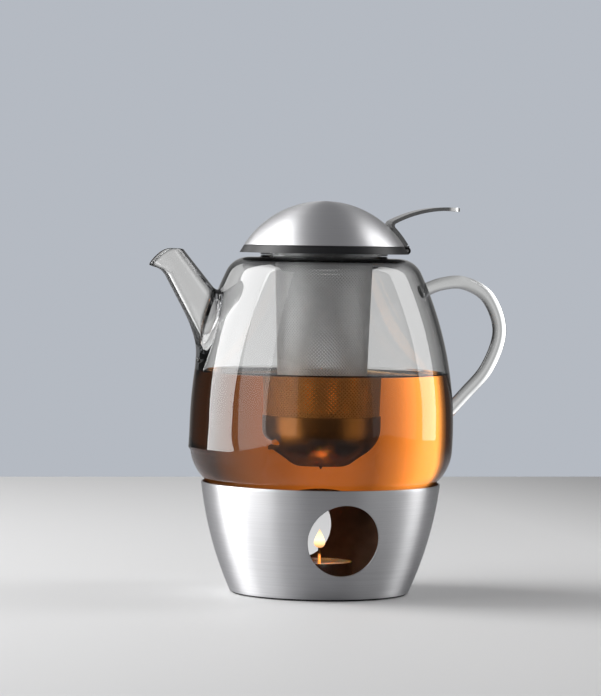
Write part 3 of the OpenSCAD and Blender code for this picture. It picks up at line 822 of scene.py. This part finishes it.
def steel_collar():
    t, seat_r = 0.8, span("strainer_collar", 1)[1]
    hem_r = mesh_top_r - 0.05
    line = [(hem_r, collar_z), (COLLAR_R - 0.3, collar_z), (COLLAR_R, collar_z + 0.3)]
    line += [(COLLAR_R, collar_top - t), (seat_r - 0.2, collar_top - t), (seat_r, collar_top - t / 2)]
    inner_r = COLLAR_R - t
    line += [(seat_r - 0.2, collar_top), (inner_r + 0.6, collar_top), (inner_r, collar_top - 0.6)]
    line += [(inner_r, collar_z + t), (hem_r, collar_z + t)]
    return turn("spun_collar", line, collar_steel)


cup = steel_cup()
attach(cup, "strainer")
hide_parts("strainer_cup")
collar = steel_collar()
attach(collar, "strainer")
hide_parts("strainer_collar")
print(f"cup {cup_r:.1f} mm and collar {COLLAR_R:.1f} mm in radius")

# %% [markdown]
# ## Dome
# A shallow cap of a sphere in thin sheet. Its rim is rolled just enough to catch a bright line.


# %% Dome
def steel_dome():
    t = 1.0
    height = dome_top - dome_z
    ball = (dome_r**2 + height**2) / (2 * height)
    centre = (0, dome_top - ball)
    low = math.degrees(math.asin((dome_z + 0.35 - centre[1]) / ball))
    low_in = math.degrees(math.asin((dome_z + 0.35 - centre[1]) / (ball - t)))
    outer = arc(centre, ball, 90, low, 90)
    inner = arc(centre, ball - t, low_in, 90, 60)
    lip = [(0.12, 0.1), (0.4, 0), (0.8, 0), (1.05, 0.12)]
    lip = [(dome_r - inwards, dome_z + upwards) for inwards, upwards in lip]
    outer[0] = (0, outer[0][1])
    inner[-1] = (0, inner[-1][1])
    return turn("spun_dome", outer + lip + inner, dome_steel, around=256, closed=False, corner=50)


dome = steel_dome()
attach(dome, "lid")
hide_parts("lid_dome")
print(f"dome {dome_top - dome_z:.1f} mm high")

# %% [markdown]
# ## Warmer
# The shell is a sheet with two round windows. A boolean would leave long thin faces round them that
# spoil a brushed reflection, so the windows are modelled: a block of quads runs from each round
# edge out to a straight frame, and the rest of the wall joins that frame.

# %% Shell with modelled windows
WALL_T = 0.9
WARMER_CURVE_R = 205.0
WINDOW_R = 20.2
WINDOW_UP = 33.6
FLANGE_W = 5
window_z = shell_z + WINDOW_UP


def bulge_centre(low, high, radius):
    """Centre of the arc of this radius that bulges outwards from low to high."""
    chord = math.dist(low, high)
    out = ((high[1] - low[1]) / chord, (low[0] - high[0]) / chord)
    back = math.sqrt(radius**2 - chord**2 / 4)
    return ((low[0] + high[0]) / 2 - out[0] * back, (low[1] + high[1]) / 2 - out[1] * back)


shell_c = bulge_centre((SHELL_BASE_R, shell_z), (rim_r, rim_z), WARMER_CURVE_R)


def shell_r(z):
    return shell_c[0] + math.sqrt(WARMER_CURVE_R**2 - (z - shell_c[1]) ** 2)


def shell_sheet():
    """Outer skin of the shell: two window blocks, two plain blocks, rows from base to rim."""
    half, top, low = 30.0, rim_z, shell_z
    across, upright, ways = 36, 30, 14
    heights = [low + (top - low) * i / upright for i in range(upright + 1)]
    verts, faces = [], []

    def on_wall(x, z, facing):
        return (x, facing * math.sqrt(shell_r(z) ** 2 - x**2), z)

    frame_line = [(-half + 2 * half * i / across, low) for i in range(across)]
    frame_line += [(half, z) for z in heights[:-1]]
    frame_line += [(half - 2 * half * i / across, top) for i in range(across)]
    frame_line += [(-half, z) for z in heights[:0:-1]]
    count = len(frame_line)
    for facing in (-1, 1):
        base = len(verts)
        for step in range(ways + 1):
            t = (step / ways) ** 1.3
            for x, z in frame_line:
                a = math.atan2(z - window_z, x)
                rim_x, rim_h = WINDOW_R * math.cos(a), window_z + WINDOW_R * math.sin(a)
                verts.append(on_wall(rim_x + (x - rim_x) * t, rim_h + (z - rim_h) * t, facing))
        for step in range(ways):
            for k in range(count):
                n = (k + 1) % count
                quad = (base + step * count + k, base + step * count + n)
                quad += (base + (step + 1) * count + n, base + (step + 1) * count + k)
                faces.append(quad)
    plain = 56
    for side in (-1, 1):
        base = len(verts)
        for z in heights:
            edge = math.acos(half / shell_r(z))
            for k in range(plain + 1):
                a = -edge + 2 * edge * k / plain
                verts.append((side * shell_r(z) * math.cos(a), shell_r(z) * math.sin(a), z))
        for i in range(upright):
            for k in range(plain):
                j = base + i * (plain + 1) + k
                faces.append((j, j + 1, j + plain + 2, j + plain + 1))
    return verts, faces


def warmer_wall():
    verts, faces = shell_sheet()
    piece = link("warmer_wall", verts, faces, warmer_steel, 80)
    # The inner skin gets the steel painted dark red-brown: painted shade and a painted reflection of the tea.
    piece.data.materials.append(painted_reflection_steel)
    work = bmesh.new()
    work.from_mesh(piece.data)
    bmesh.ops.remove_doubles(work, verts=work.verts, dist=2e-5)
    foot = (shell_z + 0.01) * MM
    base = [e for e in work.edges if e.is_boundary and max(v.co.z for v in e.verts) < foot]
    grown = bmesh.ops.extrude_edge_only(work, edges=base)["geom"]
    for v in [g for g in grown if isinstance(g, bmesh.types.BMVert)]:
        v.co.xy *= (SHELL_BASE_R - FLANGE_W) / SHELL_BASE_R
    bmesh.ops.recalc_face_normals(work, faces=work.faces)
    work.to_mesh(piece.data)
    work.free()
    sheet = piece.modifiers.new("sheet", "SOLIDIFY")
    sheet.thickness = WALL_T * MM
    sheet.offset = -1
    sheet.material_offset = 1
    edge = piece.modifiers.new("edge", "BEVEL")
    edge.width = 0.2 * MM
    edge.segments = 2
    edge.limit_method = "ANGLE"
    edge.angle_limit = math.radians(50)
    bpy.context.view_layer.objects.active = piece
    for step in (sheet.name, edge.name):
        bpy.ops.object.modifier_apply(modifier=step)
    tidy(piece, 50)
    return piece


wall = warmer_wall()
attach(wall, "warmer")
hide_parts("warmer_shell")
print("warmer wall:", len(wall.data.polygons), "faces")

# %% [markdown]
# ## Flame
# The tealight is burning. Its flame is a drop of light on the wick's tip, dim orange at its foot and warm
# white above, so it is a turned skin that only emits. A small lamp just in front of it throws the glow on the
# wax and the steel, and goes along with it as its child. The flame has a mesh of its own.

# %% Flame
FLAME_FOOT, FLAME_TIP, FLAME_R = WICK_TOP - 2.1, WICK_TOP + 8.7, 3.5
FLAME_COLOURS = [
    (0.0, (0.55, 0.20, 0.06)), (0.22, (1.0, 0.62, 0.28)), (0.45, (1.0, 0.86, 0.60)),
    (0.8, (1.0, 0.80, 0.48)), (1.0, (1.0, 0.5, 0.2)),
]


def flame_glow():
    material = bpy.data.materials.new("flame_glow")
    material.use_nodes = True
    tree = material.node_tree
    tree.nodes.clear()
    height = separate(tree, add(tree, "TexCoord").outputs["Object"], "Z")
    share = share_between(tree, height, (FLAME_FOOT + 0.1) * MM, (FLAME_TIP - 0.2) * MM)
    colour = ramp(tree, share, FLAME_COLOURS)
    light = add(tree, "Emission", {"Color": colour}, Strength=1.5)
    out = add(tree, "OutputMaterial")
    tree.links.new(light.outputs[0], out.inputs["Surface"])
    return material


def flame_body():
    line = [(0, FLAME_FOOT)]
    for i in range(1, 24):
        t = i / 24
        r = FLAME_R * math.sin(math.pi * t**0.62) ** 0.9 * (1 - 0.25 * t)
        line.append((r, FLAME_FOOT + (FLAME_TIP - FLAME_FOOT) * t))
    return turn("flame", line + [(0, FLAME_TIP)], flame_glow(), around=32, closed=False, corner=80)


flame = flame_body()
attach(flame, "tealight")
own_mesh(flame)
glow = bpy.data.lights.new("candle_glow", "POINT")
glow.energy = 0.035
glow.color = (1.0, 0.42, 0.14)
glow.shadow_soft_size = 3 * MM
candle = bpy.data.objects.new("candle_glow", glow)
bpy.context.scene.collection.objects.link(candle)
candle.visible_glossy = False
candle.location = (0, -4.5 * MM, (WICK_TOP + 4) * MM)
candle.parent = flame
print(f"flame from {FLAME_FOOT:.1f} to {FLAME_TIP:.1f} mm")

# %% [markdown]
# ## Finishes for the frame's own pieces
# A piece whose CAD shape is already right stays, and only gets its finish.

# %% Finishes on CAD nodes
node_finish = {
    "non_slip_base": silicone,
    "warmer_floor": sheet_steel,
    "tealight_holder": sheet_steel,
    "holder_rivets": sheet_steel,
    "support_plate": sheet_steel,
    "support_rests": silicone,
    "tealight_cup": aluminium,
    "tealight_wax": wax,
    "wick_clip": sheet_steel,
    "wick": wick_cotton,
    "neck_seal": clear_silicone,
    "lid_seat_ring": ring_plastic,
    "hinge_pin": sheet_steel,
    "drip_point": cup_steel,
    "lid_lever": lever_steel,
}
for name, finish in node_finish.items():
    for slot in nodes[name].material_slots:
        slot.material = finish
print(len(node_finish), "CAD nodes dressed")

# %% [markdown]
# ## Stage and light
# Steel and glass show little else than what stands round them, so the light is laid out by angle: a
# tall soft panel on the left, a narrower one at the right and slightly behind, and a dim room between
# them. The floor is plain and pale. It looks dimmer in the steel, as a floor does that lies in the
# shade of the panels, and what is seen through the glass is the room behind. The paint darkens
# towards the panels at the sides, where their light would wash it out.

# %% Floor
FLOOR_COLOUR = (0.55, 0.55, 0.55)
FLOOR_IN_STEEL = (0.30, 0.30, 0.31)
FLOOR_BY_PANELS = (0.08, 0.08, 0.08)


def floor_paint():
    material, tree, shader = finish_of("floor_paint", FLOOR_COLOUR, Roughness=0.6)
    path = add(tree, "LightPath").outputs
    tone = mixed(tree, path["Is Glossy Ray"], FLOOR_COLOUR, FLOOR_IN_STEEL)
    across = separate(tree, add(tree, "TexCoord").outputs["Object"], "X")
    across = add(tree, "Math", {0: across}, operation="ABSOLUTE").outputs[0]
    shade = mixed(tree, share_between(tree, across, 250 * MM, 850 * MM), tone, FLOOR_BY_PANELS)
    tree.links.new(shade, shader.inputs["Base Color"])
    clear = add(tree, "BsdfTransparent").outputs[0]
    mix = add(tree, "MixShader", {0: path["Is Transmission Ray"], 1: shader.outputs[0], 2: clear})
    tree.links.new(mix.outputs[0], tree.nodes["Material Output"].inputs["Surface"])
    return material


floor_corners = [(-1100, -1100, 0), (1100, -1100, 0), (1100, 900, 0), (-1100, 900, 0)]
floor = link("floor", floor_corners, [(0, 1, 2, 3)], floor_paint())
print("floor laid")

# %% Panels
PANEL_AIM_Z = 120


def panel(name, angle, away, height, size, radiance):
    """A soft panel that faces the pot; angle is from the camera's side, positive to its right."""
    turn_by = math.radians(angle)
    place = (aside * math.sin(turn_by) - ahead * math.cos(turn_by)) * away + Vector((0, 0, height))
    lamp = bpy.data.lights.new(name, "AREA")
    lamp.shape = "RECTANGLE"
    lamp.size, lamp.size_y = size[0] * MM, size[1] * MM
    lamp.energy = radiance * math.pi * lamp.size * lamp.size_y
    piece = bpy.data.objects.new(name, lamp)
    bpy.context.scene.collection.objects.link(piece)
    piece.location = place * MM
    piece.rotation_euler = (Vector((0, 0, PANEL_AIM_Z)) - place).to_track_quat("-Z", "Y").to_euler()
    piece.visible_camera = False
    piece.visible_transmission = False
    return piece


panels = [
    panel("left_panel", -98, 1200, 700, (820, 1700), 7.5),
    panel("left_high", -134, 1200, 620, (600, 420), 1.6),
    panel("left_fall_off", -62, 1250, 600, (700, 1500), 2.6),
    panel("left_far", -36, 1300, 200, (700, 700), 0.8),
    panel("right_strip", 106, 1200, 650, (520, 1600), 3.8),
    panel("right_fill", 66, 1400, 400, (1200, 1000), 0.45),
]
print("panels:", [p.name for p in panels])

# %% [markdown]
# ## The room
# The room is a ramp of greys round the horizon, by the angle from the camera's side. Steel mirrors
# one ramp, so it can have a dark band in front, and glass shows another, with a bright window
# behind on the left that lights the tea's right half. Light that steel mirrors and tea then lets
# through has a ramp of its own, with two soft windows that round the cup.


# %% Room
WALL_COLOUR = (0.46, 0.49, 0.54)
SKY_COLOUR = (0.24, 0.24, 0.25)
IN_STEEL = [
    (-180, 0.45), (-168, 0.25), (-150, 0.07), (-122, 0.07), (-110, 0.35), (-60, 0.40), (-20, 0.20),
    (-9, 0.05), (30, 0.05), (36, 0.25), (92, 0.35), (124, 0.08), (150, 0.08), (168, 0.25), (180, 0.45),
]
THROUGH_GLASS = [
    (-180, 0.60), (-175, 0.58), (-169, 0.42), (-163, 0.95), (-153, 2.4), (-142, 3.0), (-136, 0.6),
    (-131, 0.05), (-108, 0.04), (-100, 0.9), (-70, 0.9), (-55, 0.2), (-30, 0.45), (0, 0.5),
    (30, 0.45), (98, 0.45), (104, 0.03), (147, 0.04), (157, 0.20), (165, 0.34),
    (172, 0.42), (177, 0.58), (180, 0.60),
]
IN_STEEL_THROUGH_TEA = [
    (-180, 0.10), (-128, 0.03), (-106, 0.03), (-96, 1.5), (-58, 1.5), (-42, 0.06),
    (40, 0.04), (66, 0.55), (96, 0.55), (110, 0.03), (150, 0.05), (180, 0.10),
]


def turn_share(tree, way):
    """The angle of a direction from the camera's side as a share of a full turn, 0.5 in front."""
    parts = []
    for axis in (aside, -ahead):
        part = add(tree, "VectorMath", {0: way}, operation="DOT_PRODUCT")
        part.inputs[1].default_value = axis
        parts.append(part.outputs["Value"])
    angle = add(tree, "Math", {0: parts[0], 1: parts[1]}, operation="ARCTAN2").outputs[0]
    return share_between(tree, angle, -math.pi, math.pi)


def studio_world():
    world = bpy.data.worlds.new("room")
    bpy.context.scene.world = world
    world.use_nodes = True
    tree = world.node_tree
    way = add(tree, "TexCoord").outputs["Generated"]
    share = turn_share(tree, way)
    in_steel, through_glass, in_steel_through_tea = (
        ramp(tree, share, [((angle + 180) / 360, grey(level)) for angle, level in stops])
        for stops in (IN_STEEL, THROUGH_GLASS, IN_STEEL_THROUGH_TEA)
    )
    path = add(tree, "LightPath").outputs
    bent = path["Is Transmission Ray"]
    unmirrored = add(tree, "Math", {0: path["Glossy Depth"]}, operation="LESS_THAN")
    unmirrored.inputs[1].default_value = 0.5
    clear = add(tree, "Math", {0: bent, 1: unmirrored.outputs[0]}, operation="MULTIPLY").outputs[0]
    seen = mixed(tree, path["Is Glossy Ray"], grey(0.35), in_steel)
    seen = mixed(tree, bent, seen, in_steel_through_tea)
    seen = mixed(tree, clear, seen, through_glass)
    upwards = share_between(tree, separate(tree, way, "Z"), 0.25, 0.55)
    seen = mixed(tree, upwards, seen, SKY_COLOUR)
    seen = mixed(tree, path["Is Camera Ray"], seen, WALL_COLOUR)
    tree.links.new(seen, tree.nodes["Background"].inputs["Color"])
    return world


room = studio_world()
print("room:", room.name)
